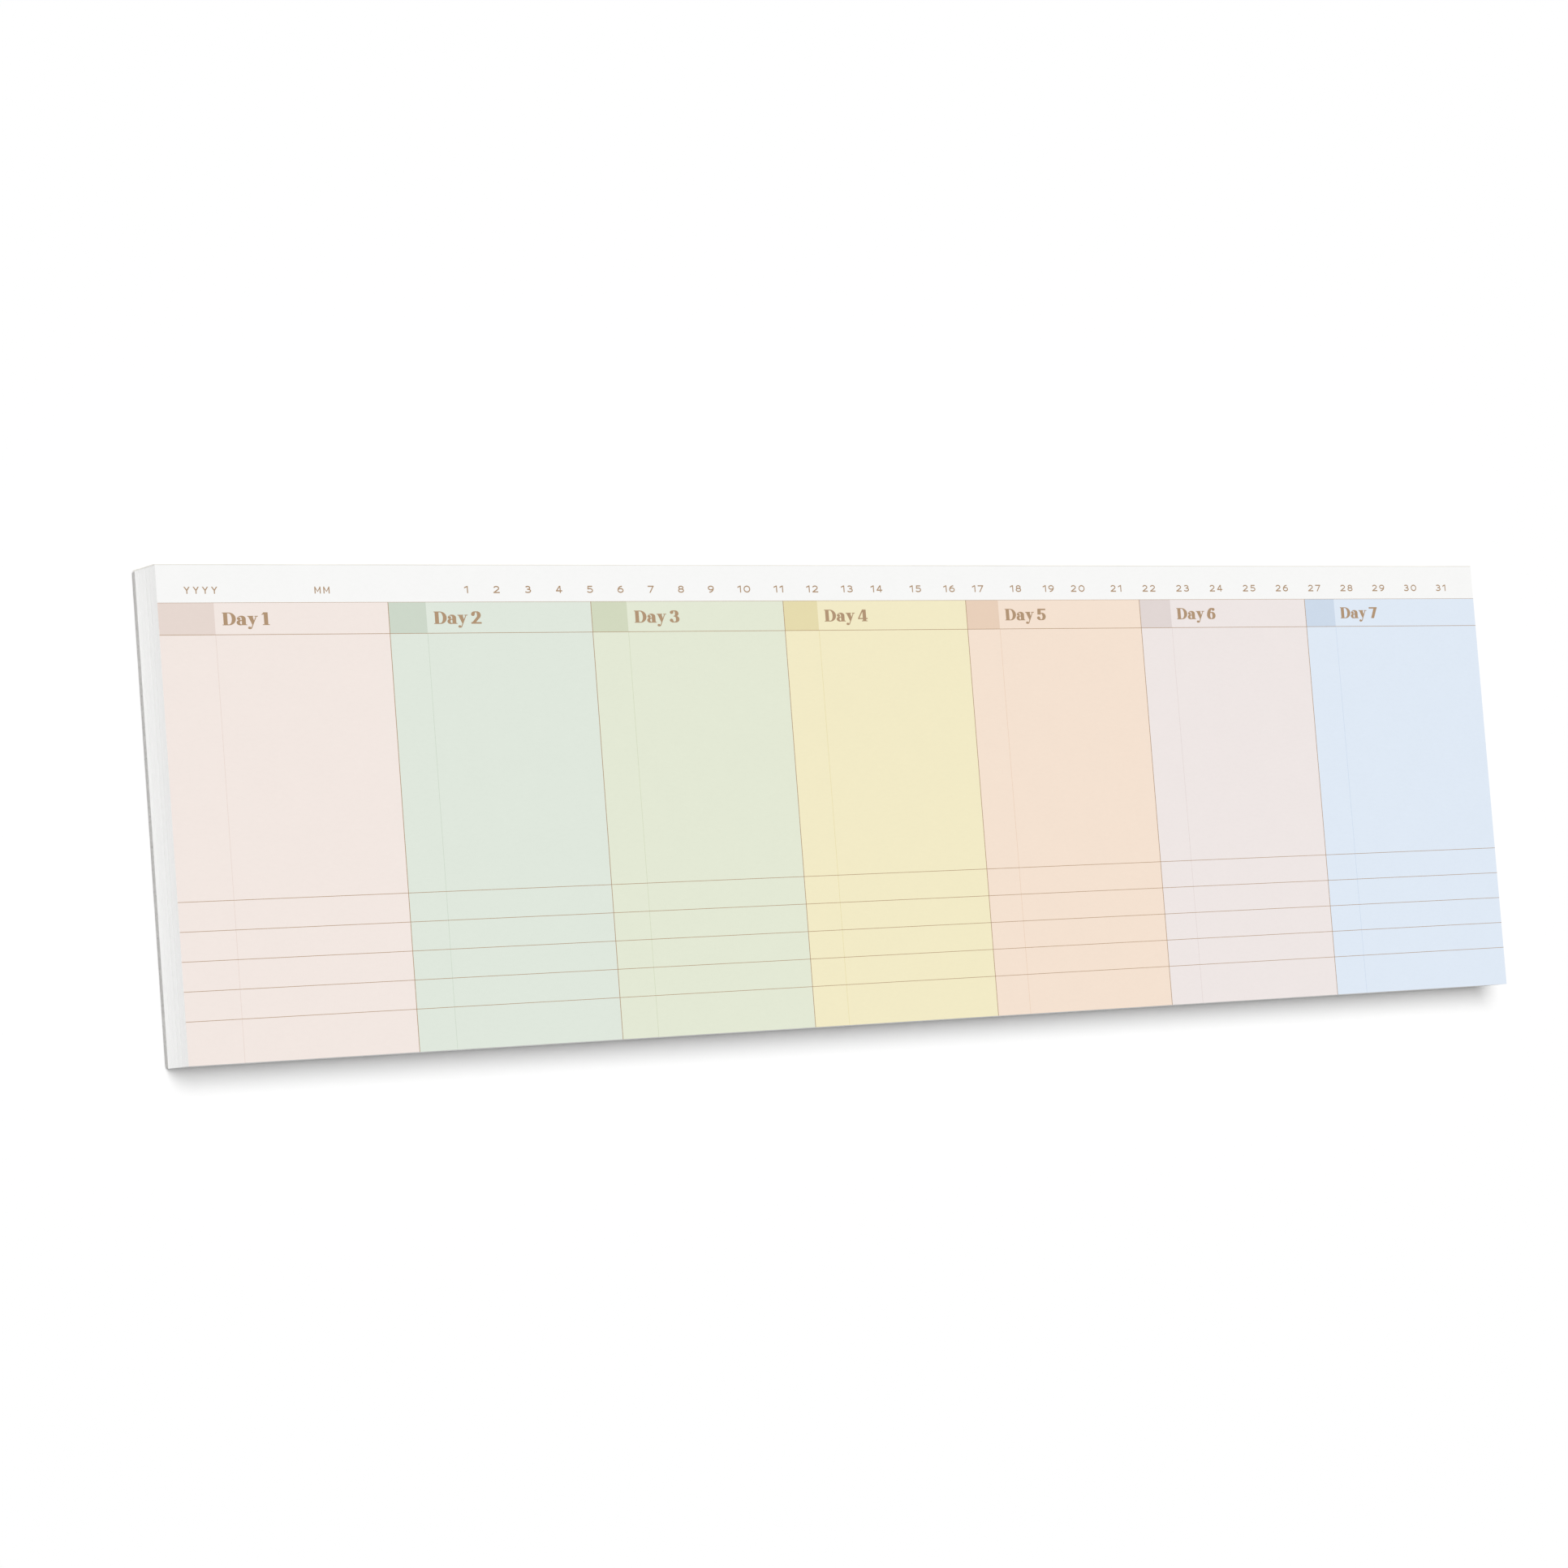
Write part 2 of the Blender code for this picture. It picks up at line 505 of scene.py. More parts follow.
def brushed_glue(name):
    """Dried padding glue: a milky film with brush streaks, and the sheets' edges showing through."""
    settings = bpy.context.scene.planner_block
    material, shader = new_material(name)
    tree = material.node_tree
    streaks = object_noise(tree, grain=0.0012, stretch=(16.0, 1.0, 0.45), detail=5.0)
    pools = object_noise(tree, grain=0.009, stretch=(2.5, 1.0, 0.5), detail=3.0)
    edges = spread(tree, ridges(tree, settings.glue_ridge), low=0.965, high=1.0, start=-1.0, stop=1.0)
    milk = product(
        tree,
        spread(tree, streaks, low=0.925, high=1.03),
        spread(tree, pools, low=0.94, high=1.02),
    )
    film = dimmed(tree, settings.glue, product(tree, milk, edges))
    tree.links.new(film, shader.inputs["Base Color"])
    tree.links.new(spread(tree, streaks, low=0.26, high=0.50), shader.inputs["Roughness"])
    emboss(tree, shader, product(tree, streaks, edges), distance=0.00012, strength=0.8)
    shader.inputs["Coat Weight"].default_value = 0.15
    return material


# Type for the page, in heights of a capital: a shape is an outline with the holes that are cut out of it

# Steps of a curve
CURVE_STEPS = 24

# Heavy letters: stem, hairline, a foot's reach and thickness, a small letter's height, a round one's excess
STEM = 0.27
HAIR = 0.065
FOOT = 0.075
FOOT_RISE = 0.058
X_HEIGHT = 0.73
OVERSHOOT = 0.015

# How fast a stroke swells as it turns upright
SWELL = 1.5

# Triangulation: the kind that fills only the outlines, and how near two of its points may be
INSIDE_ONLY = 1
POINT_ROOM = 1e-6

# Part of an ellipse: its middle, its reach across and up, and its first and last angle
Arc = namedtuple("Arc", "x y across up start stop")

# Strokes of the numbers and of the hints' letters, on a unit square: arcs, and lines through their places
STROKES = {
    "0": (Arc(0.5, 0.5, 0.5, 0.5, 90, 450),),
    "1": (((0, 0.83), (0.95, 1.02)), ((1, 1), (1, 0))),
    "2": (Arc(0.48, 0.71, 0.46, 0.29, 165, -45), ((0.82, 0.515), (0, 0)), ((0, 0), (1, 0))),
    "3": (
        Arc(0.47, 0.765, 0.43, 0.235, 150, -90),
        Arc(0.47, 0.265, 0.53, 0.265, 90, -152),
        ((0.36, 0.53), (0.52, 0.53)),
    ),
    "4": (((0.6, 1), (0.02, 0.28)), ((0, 0.26), (1, 0.26)), ((0.72, 1), (0.72, 0))),
    "5": (((0.98, 1), (0.18, 1)), ((0.18, 1), (0.12, 0.49)), Arc(0.46, 0.31, 0.54, 0.31, 118, -152)),
    "6": (Arc(0.5, 0.31, 0.5, 0.31, 90, 450), Arc(0.78, 0.31, 0.78, 0.69, 180, 86)),
    "7": (((0, 1), (1, 1)), ((0.98, 1), (0.34, 0))),
    "8": (Arc(0.5, 0.76, 0.42, 0.24, 90, 450), Arc(0.5, 0.27, 0.5, 0.27, 90, 450)),
    "9": (Arc(0.5, 0.69, 0.5, 0.31, 90, 450), Arc(0.22, 0.69, 0.78, 0.69, 0, -94)),
    "M": (((0, 0), (0, 1)), ((0, 1), (0.5, 0.25), (1, 1)), ((1, 1), (1, 0))),
    "Y": (((0.1, 1), (0.5, 0.46)), ((0.9, 1), (0.5, 0.46)), ((0.5, 0.46), (0.5, 0))),
}

# Widths of the numbers that are wider or narrower than the rest
FIGURE_WIDTHS = {"0": 1.12, "1": 0.58}

# Heavy numbers: their width, their ball ends, and where their level bars start and lie
HEAVY_WIDTH = 0.74
BALL_SIZE = 0.13
BALLS = {
    "2": ((0.1488, 0.755),),
    "3": ((0.1784, 0.84), (0.134, 0.185)),
    "5": ((0.134, 0.195),),
    "6": ((0.5632, 0.87),),
}
LEVEL_BARS = {"2": (0.0, 0.0), "5": (0.13, 1 - 2 * HAIR), "7": (0.0, 1 - 2 * HAIR)}


def bar(left, bottom, right, top):
    """A rectangle."""
    return [(left, bottom), (right, bottom), (right, top), (left, top)]


def arc_places(arc):
    """Places along an arc. A full ring runs one step past its start, so that its ends overlap."""
    turn = arc.stop - arc.start
    count = CURVE_STEPS + (2 if abs(turn) >= 360 else 1)
    angles = [math.radians(arc.start + turn * i / CURVE_STEPS) for i in range(count)]
    return [(arc.x + arc.across * math.cos(a), arc.y + arc.up * math.sin(a)) for a in angles]


def oval(x, y, across, up, start=0, stop=360):
    """The outline of an ellipse, or of the part of it between two angles closed by its chord."""
    places = arc_places(Arc(x, y, across, up, start, stop))
    return places[:CURVE_STEPS] if stop - start >= 360 else places


def solid(*outlines):
    """Shapes with no hole in them."""
    return [(outline, ()) for outline in outlines]


def pen_width(run, thick, thin):
    """Width of a stroke along a direction: thick where it runs upright, thin where it runs level."""
    return thin + (thick - thin) * abs(run.y) ** SWELL


def run_on(place, run, width, margin):
    """How far a straight stroke runs on past a place on a side of its box, to cross that side in full."""
    reaches = []
    for spot, along, across, room in zip(place, run, run.yx, margin):
        if spot in (0.0, 1.0) and abs(along) > MERGE:
            reaches.append((room + width / 2 * abs(across)) / abs(along))
    return min(reaches, default=0.0)


def stroke_path(stroke, wide, thick, thin):
    """The middle line of a stroke in a box of the given width. A line that ends at a side crosses it."""
    margin = Vector((thick / 2, thin / 2))
    curved = isinstance(stroke, Arc)
    places = arc_places(stroke) if curved else stroke
    path = [Vector((margin.x + u * (wide - thick), margin.y + v * (1 - thin))) for u, v in places]
    if not curved:
        for end, beside in ((0, 1), (-1, -2)):
            run = (path[end] - path[beside]).normalized()
            path[end] += run * run_on(stroke[end], run, pen_width(run, thick, thin), margin)
    return path


def pen(path, thick, thin):
    """Shapes of a stroke drawn along a path."""
    sides = []
    for i, spot in enumerate(path):
        run = (path[min(i + 1, len(path) - 1)] - path[max(i - 1, 0)]).normalized()
        half = Vector((run.y, -run.x)) * pen_width(run, thick, thin) / 2
        sides.append((spot + half, spot - half))
    return solid(*([a[0], b[0], b[1], a[1]] for a, b in zip(sides, sides[1:])))


def trim(outline, axis, limit, side):
    """The part of an outline above a limit on an axis, or below it where side is -1."""
    remains = []
    for here, ahead in zip(outline, outline[1:] + outline[:1]):
        room, room_ahead = side * (here[axis] - limit), side * (ahead[axis] - limit)
        if room >= 0:
            remains.append(here)
        if room * room_ahead < 0:
            remains.append(here.lerp(ahead, room / (room - room_ahead)))
    return remains


def figure(character, wide, thick, thin):
    """A number or a hint's letter, trimmed to its box: its shapes and its width."""
    wide *= FIGURE_WIDTHS.get(character, 1.0)
    sides = ((X, 0.0, 1), (X, wide, -1), (Y, 0.0, 1), (Y, 1.0, -1))
    shapes = []
    for stroke in STROKES[character]:
        for outline, _ in pen(stroke_path(stroke, wide, thick, thin), thick, thin):
            for axis, limit, side in sides:
                outline = trim(outline, axis, limit, side)
            shapes += solid(outline)
    return shapes, wide


def heavy_one():
    """A stem with a flag at its head and a foot to both sides."""
    left, right, spur = 0.17, 0.17 + STEM, 1.4 * FOOT
    flag = [(0.0, 0.80), (0.19, 0.84), (0.19, 1.0), (0.15, 1.0)]
    foot = bar(left - spur, 0, right + spur, FOOT_RISE)
    return solid(bar(left, 0, right, 1), flag, foot), right + spur


def heavy_four():
    """A stem with a slant and a level arm."""
    left, right, spur = 0.38, 0.38 + STEM, 1.2 * FOOT
    wide, level = 0.76, 0.25
    slant = [(0.0, level), (0.10, level), (left + 0.06, 0.93), (left + 0.06, 1.0), (left - 0.02, 1.0)]
    foot = bar(left - spur, 0, right + spur, FOOT_RISE)
    arm = bar(0.0, level - HAIR, wide, level + HAIR / 2)
    return solid(bar(left, 0, right, 1), slant, arm, foot), wide


def heavy_figure(character):
    """A number in the style of the day headings: swelling strokes, ball ends and flat feet."""
    if character == "1":
        return heavy_one()
    if character == "4":
        return heavy_four()
    shapes, wide = figure(character, HEAVY_WIDTH, STEM, HAIR)
    shapes += solid(*(oval(x, y, BALL_SIZE, BALL_SIZE) for x, y in BALLS.get(character, ())))
    if character in LEVEL_BARS:
        left, level = LEVEL_BARS[character]
        shapes += solid(bar(left, level, wide, level + 2 * HAIR))
    return shapes, wide


def heavy_D():
    """A stem with a bowl as tall as itself."""
    left, right, turn, reach = FOOT, FOOT + STEM, 0.44, 0.47
    bowl = [(left, 0), *oval(turn, 0.5, reach, 0.5, -90, 90), (left, 1)]
    bend = oval(turn, 0.5, reach - STEM, 0.5 - HAIR, -90, 90)
    hollow = [(right, HAIR), *bend, (right, 1 - HAIR)]
    feet = (bar(0, 0, right, FOOT_RISE), bar(0, 1 - FOOT_RISE, right, 1))
    return [(bowl, (hollow,))] + solid(*feet), turn + reach


def heavy_a():
    """A stem with a ball-ended arch above and a bowl below."""
    left, right, rise, middle = 0.36, 0.36 + STEM, 0.22, 0.20
    spring = X_HEIGHT - rise
    arch = oval(right - 0.29, spring, 0.29, rise + OVERSHOOT, 0, 180)
    hollow = oval(left - 0.15, spring, 0.15, rise - HAIR, 0, 180)
    bowl = oval(0.25, middle, 0.25, middle + OVERSHOOT)
    eye = oval(0.315, middle, 0.09, middle - HAIR)
    ball = oval(0.16, spring + 0.005, 0.12, 0.11)
    shapes = [(arch, (hollow,)), (bowl, (eye,))]
    shapes += solid(bar(left, 0, right, spring), bar(left, 0, right + FOOT, FOOT_RISE), ball)
    return shapes, right + FOOT


def heavy_y():
    """A heavy falling stroke and a thin one that runs on below the line to a ball."""
    thick = [(0.33, -0.02), (0.366, -0.02), (0.47, 0.25), (0.36, X_HEIGHT), (0.05, X_HEIGHT)]
    thin = [(0.20, -0.27), (0.27, -0.27), (0.655, X_HEIGHT), (0.59, X_HEIGHT)]
    wide, under = 0.73, X_HEIGHT - FOOT_RISE
    feet = (bar(0, under, 0.42, X_HEIGHT), bar(0.50, under, wide, X_HEIGHT))
    ball = oval(0.12, -0.215, 0.105, 0.10)
    tail = pen([Vector((0.235, -0.235)), Vector((0.20, -0.28)), Vector((0.13, -0.28))], HAIR, HAIR)
    return solid(thick, thin, *feet, ball) + tail, wide


def fill_shapes(bm, shapes, place):
    """Adds the union of a letter's shapes, less each one's holes, as flat faces placed by a matrix."""
    points, outlines, owners = [], [], []
    for outer, holes in shapes:
        numbers = []
        for outline in (outer, *holes):
            numbers.append(len(outlines))
            outlines.append(list(range(len(points), len(points) + len(outline))))
            points.extend(Vector(spot) for spot in outline)
        owners.append((numbers[0], set(numbers[1:])))
    spots, _, faces, _, _, sources = delaunay_2d_cdt(points, [], outlines, INSIDE_ONLY, POINT_ROOM)
    corners = [bm.verts.new(place @ Vector((*spot, 0.0))) for spot in spots]
    for face, source in zip(faces, sources):
        inside = set(source)
        if any(outer in inside and not holes & inside for outer, holes in owners):
            bm.faces.new([corners[i] for i in face])
    bmesh.ops.delete(bm, geom=[v for v in corners if not v.link_faces], context="VERTS")


def word_width(glyphs, gap):
    """Width of a row of glyphs with a gap between each two."""
    return sum(wide for _, wide in glyphs) + gap * (len(glyphs) - 1)


def set_word(bm, glyphs, gap, place):
    """Adds a row of glyphs from the origin of place along its X."""
    across = 0.0
    for shapes, wide in glyphs:
        fill_shapes(bm, shapes, place @ Matrix.Translation((across, 0.0, 0.0)))
        across += wide + gap


# Layout of the page


def page_x(across):
    """X of a place on the page."""
    return PAGE_LOW.x + across


def page_y(down):
    """Y of a place on the page."""
    return PAGE_HIGH.y - down


def column_starts():
    """How far across the page each column starts."""
    margin = bpy.context.scene.planner_page.side_margin
    wide = (PAGE_LENGTH - 2 * margin) / DAYS
    return [margin + wide * i for i in range(DAYS)]


def column_tints():
    """Each column's tint."""
    inks = bpy.context.scene.planner_ink
    return [tuple(getattr(inks, f"tint_{i + 1}")) for i in range(DAYS)]


def tab_tint(tint):
    """The tint of a column's tab: the column's own, laid on deeper and dimmed."""
    inks = bpy.context.scene.planner_ink
    return tuple((1.0 - inks.tab_shade) * value**inks.tab_strength for value in tint)


def bare_top(page):
    """Height of a page's bare paper."""
    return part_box(page.node)[1].z - bpy.context.scene.planner_page.ink_room


def ink_top(page, faintness=0):
    """Height of a page's ink, lower for fainter kinds of line."""
    settings = bpy.context.scene.planner_page
    return bare_top(page) + settings.ink_height - faintness * settings.ink_step


def ink_depth(page, faintness=0):
    """Thickness of a page's ink, its root in the paper included."""
    return ink_top(page, faintness) - bare_top(page) + bpy.context.scene.planner_page.ink_root


def line_across(bm, page, down, wide):
    """Adds a line across the whole page."""
    top, depth = ink_top(page), ink_depth(page)
    low = (PAGE_LOW.x, page_y(down + wide / 2), top - depth)
    block(bm, low, (PAGE_HIGH.x, page_y(down - wide / 2), top))


def line_down(bm, page, across, start, wide, faintness):
    """Adds a line from some way down the page to its free edge."""
    top, depth = ink_top(page, faintness), ink_depth(page, faintness)
    low = (page_x(across - wide / 2), PAGE_LOW.y, top - depth)
    block(bm, low, (page_x(across + wide / 2), page_y(start), top))


def fasten(piece, page, in_bend):
    """Puts a piece of a page with its sheet: near the glue of a sheet that turns, its place is baked into
    its mesh and it is left free of any body; elsewhere it rides on its sheet's body.
    """
    if page.turns and in_bend:
        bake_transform(piece)
    else:
        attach(piece, page.body)


def print_piece(name, bm, page, in_bend=False, make=printing_ink):
    """Turns a bmesh into a piece of a page's print."""
    fasten(finish_piece(f"{name}_{page.label}", bm, kept(make)), page, in_bend)


class PLANNER_OT_print_sheets(Operator):
    """Make the two sheets that show their print, with tinted columns and darker tabs"""

    bl_idname = "planner.print_sheets"
    bl_label = "Print Sheets"

    def execute(self, context):
        for page in PAGES:
            self.print_sheet(context.scene, page)
        return {"FINISHED"}

    def print_sheet(self, scene, page):
        layout = scene.planner_page
        low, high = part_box(page.node)
        bm = bmesh.new()
        block(bm, low, (high.x, high.y, bare_top(page)))
        starts = column_starts()
        for across in starts[1:] + [start + layout.tab_width for start in starts]:
            cut(bm, X, page_x(across))
        for down in (layout.strip_depth, layout.strip_depth + layout.band_depth):
            cut(bm, Y, page_y(down))
        if page.turns:
            cut_rows(bm, page_y(0.0), page_y(layout.bend_depth), layout.bend_step)
            cut(bm, Y, page_y(layout.bend_depth))
        bm.normal_update()
        paint(bm, lambda face: self.face_tint(scene, face))
        sheet = finish_piece(f"printed_sheet_{page.label}", bm, kept(printed_paper))
        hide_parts(page.node)
        fasten(sheet, page, in_bend=True)

    def face_tint(self, scene, face):
        """Bare paper on the back, the edges and the date strip, elsewhere a column's or a tab's tint."""
        layout = scene.planner_page
        spot = face.calc_center_median()
        across, down = spot.x - PAGE_LOW.x, PAGE_HIGH.y - spot.y
        if face.normal.z < FACING_UP or down < layout.strip_depth:
            return tuple(scene.planner_ink.paper)
        starts = column_starts()
        column = max([i for i, start in enumerate(starts) if start <= across], default=0)
        tint = column_tints()[column]
        in_band = down < layout.strip_depth + layout.band_depth
        if in_band and across < starts[column] + layout.tab_width:
            return tab_tint(tint)
        return tint


class PLANNER_OT_rule_pages(Operator):
    """Rule the pages: band and writing lines, column lines and the faint lines under the tabs"""

    bl_idname = "planner.rule_pages"
    bl_label = "Rule Pages"

    def execute(self, context):
        layout = context.scene.planner_page
        for page in PAGES:
            self.rule_rows(layout, page)
            self.rule_columns(layout, page)
            self.rule_tabs(layout, page)
        return {"FINISHED"}

    def rule_rows(self, layout, page):
        bm = bmesh.new()
        line_across(bm, page, layout.strip_depth, layout.strip_rule_width)
        line_across(bm, page, layout.strip_depth + layout.band_depth, layout.band_rule_width)
        for i in range(layout.rule_count):
            line_across(bm, page, layout.first_rule + i * layout.rule_pitch, layout.rule_width)
        print_piece("row_lines", bm, page)

    def rule_columns(self, layout, page):
        bm = bmesh.new()
        for start in column_starts()[1:]:
            line_down(bm, page, start, layout.strip_depth, layout.column_rule_width, faintness=1)
        print_piece("column_lines", bm, page)

    def rule_tabs(self, layout, page):
        bm = bmesh.new()
        down = layout.strip_depth + layout.band_depth
        starts, tints = column_starts(), column_tints()
        for start in starts:
            line_down(bm, page, start + layout.tab_width, down, layout.tab_rule_width, faintness=2)

        def line_tint(face):
            across = face.calc_center_median().x - PAGE_LOW.x
            return tab_tint(tints[max(i for i, start in enumerate(starts) if start < across)])

        paint(bm, line_tint)
        print_piece("tab_lines", bm, page, make=printed_paper)


class PLANNER_OT_name_days(Operator):
    """Print a numbered day heading at the head of each column"""

    bl_idname = "planner.name_days"
    bl_label = "Name Days"

    def execute(self, context):
        settings = context.scene.planner_type
        size = Matrix.Diagonal((settings.day_height * settings.day_stretch, settings.day_height, 1.0, 1.0))
        for page in PAGES:
            bm = bmesh.new()
            for number, start in enumerate(column_starts(), start=1):
                spot = (page_x(start + settings.day_indent), page_y(settings.day_baseline), ink_top(page))
                heading = [heavy_D(), heavy_a(), heavy_y()]
                heading += [([], settings.day_space), heavy_figure(str(number))]
                set_word(bm, heading, settings.day_gap, Matrix.Translation(spot) @ size)
            thicken(bm, ink_depth(page))
            print_piece("day_names", bm, page)
        return {"FINISHED"}


class PLANNER_OT_number_dates(Operator):
    """Print the row of dates and the hints for the year and the month"""

    bl_idname = "planner.number_dates"
    bl_label = "Number Dates"

    def execute(self, context):
        for page in PAGES:
            self.print_dates(context.scene, page)
            self.print_hints(context.scene, page)
        return {"FINISHED"}

    def figures(self, settings, word):
        """The glyphs of a number or a hint."""
        weight = settings.figure_weight
        return [figure(character, settings.figure_width, weight, weight) for character in word]

    def print_dates(self, scene, page):
        settings = scene.planner_type
        words = [self.figures(settings, str(date)) for date in range(1, LAST_DATE + 1)]
        widths = [word_width(word, settings.figure_gap) * settings.date_height for word in words]
        gap = (settings.last_date - settings.first_date - sum(widths)) / (LAST_DATE - 1)
        bm = bmesh.new()
        across = settings.first_date
        for date, (word, wide) in enumerate(zip(words, widths), start=1):
            shift = settings.date_shift if date in SHIFTED_DATES else 0.0
            self.set_figures(bm, settings, word, across - shift, settings.date_height, page)
            across += wide + gap
        self.close(scene, bm, page, "date_numbers")

    def print_hints(self, scene, page):
        settings = scene.planner_type
        bm = bmesh.new()
        for text, across in zip(DATE_HINTS, (settings.year_hint, settings.month_hint)):
            self.set_figures(bm, settings, self.figures(settings, text), across, settings.hint_height, page)
        self.close(scene, bm, page, "date_hints")

    def set_figures(self, bm, settings, word, across, size, page):
        """Adds a row of glyphs to the date strip."""
        spot = Matrix.Translation((page_x(across), page_y(settings.date_baseline), ink_top(page)))
        set_word(bm, word, settings.figure_gap, spot @ Matrix.Diagonal((size, size, 1.0, 1.0)))

    def close(self, scene, bm, page, name):
        """Makes the piece, with cuts where its page curls."""
        if page.turns:
            foot, head = extent(bm, Y)
            cut_rows(bm, head, foot, scene.planner_page.bend_step)
        thicken(bm, ink_depth(page))
        print_piece(name, bm, page, in_bend=True)


class PLANNER_OT_stack_paper(Operator):
    """Stack the sheets below, each jogged a little inside the trimmed edges"""

    bl_idname = "planner.stack_paper"
    bl_label = "Stack Paper"

    def execute(self, context):
        draw = random.Random(JOG_SEED)
        for number, node in enumerate(STACK_NODES, start=len(PAGES) + 1):
            self.lay_sheet(context.scene.planner_block, draw, number, node)
        return {"FINISHED"}

    def lay_sheet(self, settings, draw, number, node):
        low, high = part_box(node)
        stray = draw.random() < settings.stray_share
        reach = settings.coarse_jog if stray else settings.fine_jog
        left, right, free = (draw.uniform(0.0, reach) for _ in range(3))
        # Each sheet's tone: a random drop, and painted shade that darkens the sheets towards the top of the
        # pad
        up = (high.z - CAD_LOW.z) / (CAD_HIGH.z - CAD_LOW.z)
        shade = 1.0 - settings.tone_drop * draw.random() ** 2 - settings.tone_fall * up
        tint = tuple(value * shade for value in settings.paper_tone)
        bm = bmesh.new()
        block(bm, (low.x + left, low.y + free, low.z), (high.x - right, high.y, high.z))
        self.wander(bm, settings, number)
        paint(bm, lambda face: tint)
        sheet = finish_piece(f"pad_sheet_{number:02d}", bm, kept(block_paper))
        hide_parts(node)
        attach(sheet, PAD_BODY)

    def wander(self, bm, settings, number):
        """Lets the three trimmed edges wander inwards along their length."""
        step = settings.wave_length / CUTS_PER_WAVE
        (left, right), (free, glued) = extent(bm, X), extent(bm, Y)
        for axis, low, high in ((X, left, right), (Y, free, glued)):
            for i in range(1, int((high - low) / step)):
                cut(bm, axis, low + i * step)
        for vert in bm.verts:
            spot = vert.co / settings.wave_length
            spot.z = number * SHEET_NOISE_STEP
            shift = settings.edge_wave * half_noise(spot)
            if abs(vert.co.x - left) < MERGE:
                vert.co.x += shift
            elif abs(vert.co.x - right) < MERGE:
                vert.co.x -= shift
            if abs(vert.co.y - free) < MERGE:
                vert.co.y += shift


class PLANNER_OT_back_board(Operator):
    """Put the greyboard behind the sheets"""

    bl_idname = "planner.back_board"
    bl_label = "Back Board"

    def execute(self, context):
        settings = context.scene.planner_block
        low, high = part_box(BOARD_NODE)
        bm = bmesh.new()
        block(bm, low, high)
        corners = [e for e in bm.edges if abs(e.verts[0].co.z - e.verts[1].co.z) > MERGE]
        self.round_off(bm, corners, settings.board_corner)
        underneath = [e for e in bm.edges if all(abs(v.co.z - low.z) < MERGE for v in e.verts)]
        self.round_off(bm, underneath, settings.board_radius)
        board = finish_piece("greyboard_back", bm, kept(recycled_greyboard))
        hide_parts(BOARD_NODE)
        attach(board, PAD_BODY)
        return {"FINISHED"}

    def round_off(self, bm, edges, radius):
        bmesh.ops.bevel(
            bm, geom=edges, offset=radius, affect="EDGES", segments=BEVEL_STEPS, profile=0.5, material=-1
        )


class PLANNER_OT_brush_glue(Operator):
    """Brush the film of padding glue along the top edge"""

    bl_idname = "planner.brush_glue"
    bl_label = "Brush Glue"

    def execute(self, context):
        settings = context.scene.planner_block
        low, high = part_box(GLUE_NODE)
        bm = bmesh.new()
        block(bm, low, high)
        for axis in (X, Z):
            count = round((high[axis] - low[axis]) / settings.glue_step)
            for i in range(1, count):
                cut(bm, axis, low[axis] + (high[axis] - low[axis]) * i / count)
        for vert in bm.verts:
            self.brush(vert, settings, low, high)
        film = finish_piece("glue_film", bm, kept(brushed_glue))
        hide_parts(GLUE_NODE)
        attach(film, PAD_BODY)
        return {"FINISHED"}

    def brush(self, vert, settings, low, high):
        """Thins the film in streaks on its outer side, and lets its lower edge wander."""
        place = vert.co.copy()
        if abs(place.y - high.y) < MERGE:
            grain = settings.glue_grain
            streak = Vector((place.x / grain, 0.0, BRUSH_DRAW * place.z / grain))
            at_edge = min(place.z - low.z, high.z - place.z) < MERGE
            vert.co.y -= settings.glue_dimple * (1.0 if at_edge else half_noise(streak))
        if abs(place.z - low.z) < MERGE:
            waves = Vector((GLUE_WAVES * place.x / settings.wave_length, GLUE_NOISE_ROW, 0.0))
            vert.co.z += settings.glue_wander * half_noise(waves)


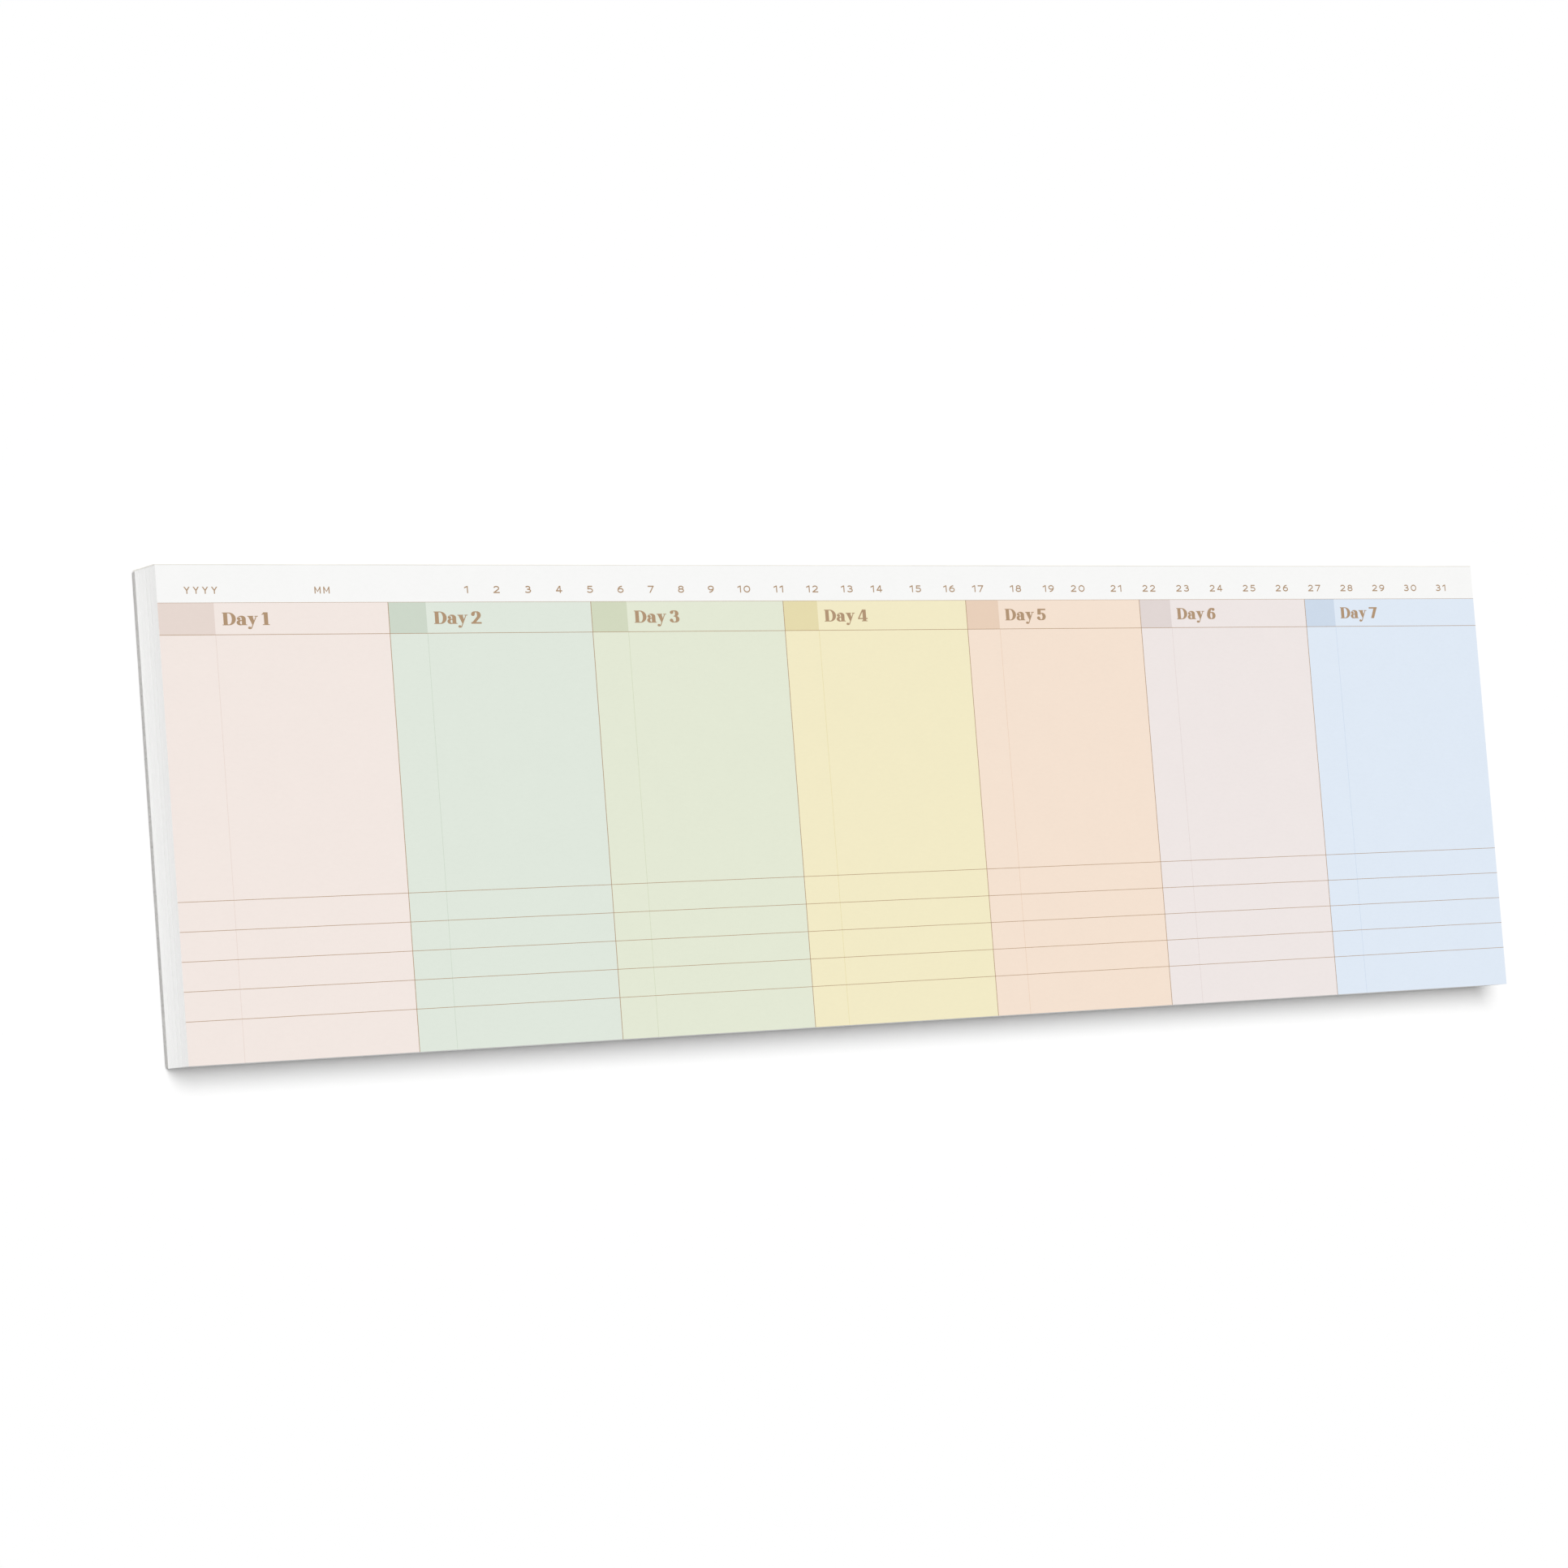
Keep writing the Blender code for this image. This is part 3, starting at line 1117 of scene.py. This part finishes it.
class PLANNER_OT_light_studio(Operator):
    """Set up the plain pale floor, the soft light and the camera"""

    bl_idname = "planner.light_studio"
    bl_label = "Light Studio"

    def execute(self, context):
        settings = context.scene.planner_studio
        self.lay_floor(settings)
        self.hang_key(settings)
        self.light_world(context.scene, settings)
        self.set_camera(context.scene, settings)
        context.scene.view_settings.view_transform = "Standard"
        return {"FINISHED"}

    def lay_floor(self, settings):
        material, shader = new_material("pale_floor")
        shader.inputs["Base Color"].default_value = (*settings.floor, 1.0)
        shader.inputs["Roughness"].default_value = 0.95
        shader.inputs["Specular IOR Level"].default_value = 0.0
        bm = bmesh.new()
        level = Matrix.Translation((0.0, 0.0, CAD_LOW.z - settings.floor_gap))
        bmesh.ops.create_grid(bm, x_segments=1, y_segments=1, size=settings.floor_reach, matrix=level)
        finish_piece("studio_floor", bm, material)

    def hang_key(self, settings):
        towards = Vector(settings.key_from).normalized()
        lamp = bpy.data.lights.new("key_lamp", "SUN")
        lamp.energy = settings.key_share * math.pi / towards.z
        lamp.angle = settings.key_spread
        key = bpy.data.objects.new("key_lamp", lamp)
        key.rotation_euler = towards.to_track_quat("Z", "Y").to_euler()
        bpy.context.scene.collection.objects.link(key)

    def light_world(self, scene, settings):
        world = bpy.data.worlds.new("studio_sky")
        world.use_nodes = True
        tree = world.node_tree
        sky = tree.nodes["Background"]
        sky.inputs["Color"].default_value = (1.0, 1.0, 1.0, 1.0)
        sky.inputs["Strength"].default_value = settings.sky_share
        seen = tree.nodes.new("ShaderNodeBackground")
        seen.inputs["Color"].default_value = (1.0, 1.0, 1.0, 1.0)
        path = tree.nodes.new("ShaderNodeLightPath")
        mix = tree.nodes.new("ShaderNodeMixShader")
        tree.links.new(path.outputs["Is Camera Ray"], mix.inputs["Fac"])
        tree.links.new(sky.outputs["Background"], mix.inputs[1])
        tree.links.new(seen.outputs["Background"], mix.inputs[2])
        tree.links.new(mix.outputs["Shader"], tree.nodes["World Output"].inputs["Surface"])
        scene.world = world

    def set_camera(self, scene, settings):
        data = bpy.data.cameras.new("page_camera")
        data.lens = settings.lens
        camera = bpy.data.objects.new("page_camera", data)
        camera.location = settings.camera_place
        camera.rotation_euler = Euler(settings.camera_turn)
        scene.collection.objects.link(camera)
        scene.camera = camera


STEPS = (
    PLANNER_OT_print_sheets,
    PLANNER_OT_rule_pages,
    PLANNER_OT_name_days,
    PLANNER_OT_number_dates,
    PLANNER_OT_stack_paper,
    PLANNER_OT_back_board,
    PLANNER_OT_brush_glue,
    PLANNER_OT_light_studio,
)

SETTINGS = {
    "planner_page": PlannerPageSettings,
    "planner_type": PlannerTypeSettings,
    "planner_ink": PlannerInkSettings,
    "planner_block": PlannerBlockSettings,
    "planner_studio": PlannerStudioSettings,
}


class PLANNER_PT_finish(Panel):
    """Buttons for each step and the settings behind them"""

    bl_idname = "PLANNER_PT_finish"
    bl_label = "Planner Pad"
    bl_space_type = "VIEW_3D"
    bl_region_type = "UI"
    bl_category = "Planner Pad"

    def draw(self, context):
        for step in STEPS:
            self.layout.operator(step.bl_idname)
        for name, kind in SETTINGS.items():
            box = self.layout.box()
            for field in kind.__annotations__:
                box.prop(getattr(context.scene, name), field)


CLASSES = (*SETTINGS.values(), *STEPS, PLANNER_PT_finish)


def register():
    """Adds the settings, steps and panel to Blender."""
    for item in CLASSES:
        bpy.utils.register_class(item)
    for name, kind in SETTINGS.items():
        setattr(bpy.types.Scene, name, PointerProperty(type=kind))


def unregister():
    """Takes them out again."""
    for name in SETTINGS:
        delattr(bpy.types.Scene, name)
    for item in reversed(CLASSES):
        bpy.utils.unregister_class(item)


def main():
    """Builds every piece and the stage in order."""
    register()
    bpy.ops.planner.print_sheets()
    bpy.ops.planner.rule_pages()
    bpy.ops.planner.name_days()
    bpy.ops.planner.number_dates()
    bpy.ops.planner.stack_paper()
    bpy.ops.planner.back_board()
    bpy.ops.planner.brush_glue()
    bpy.ops.planner.light_studio()


if __name__ == "__main__":
    main()
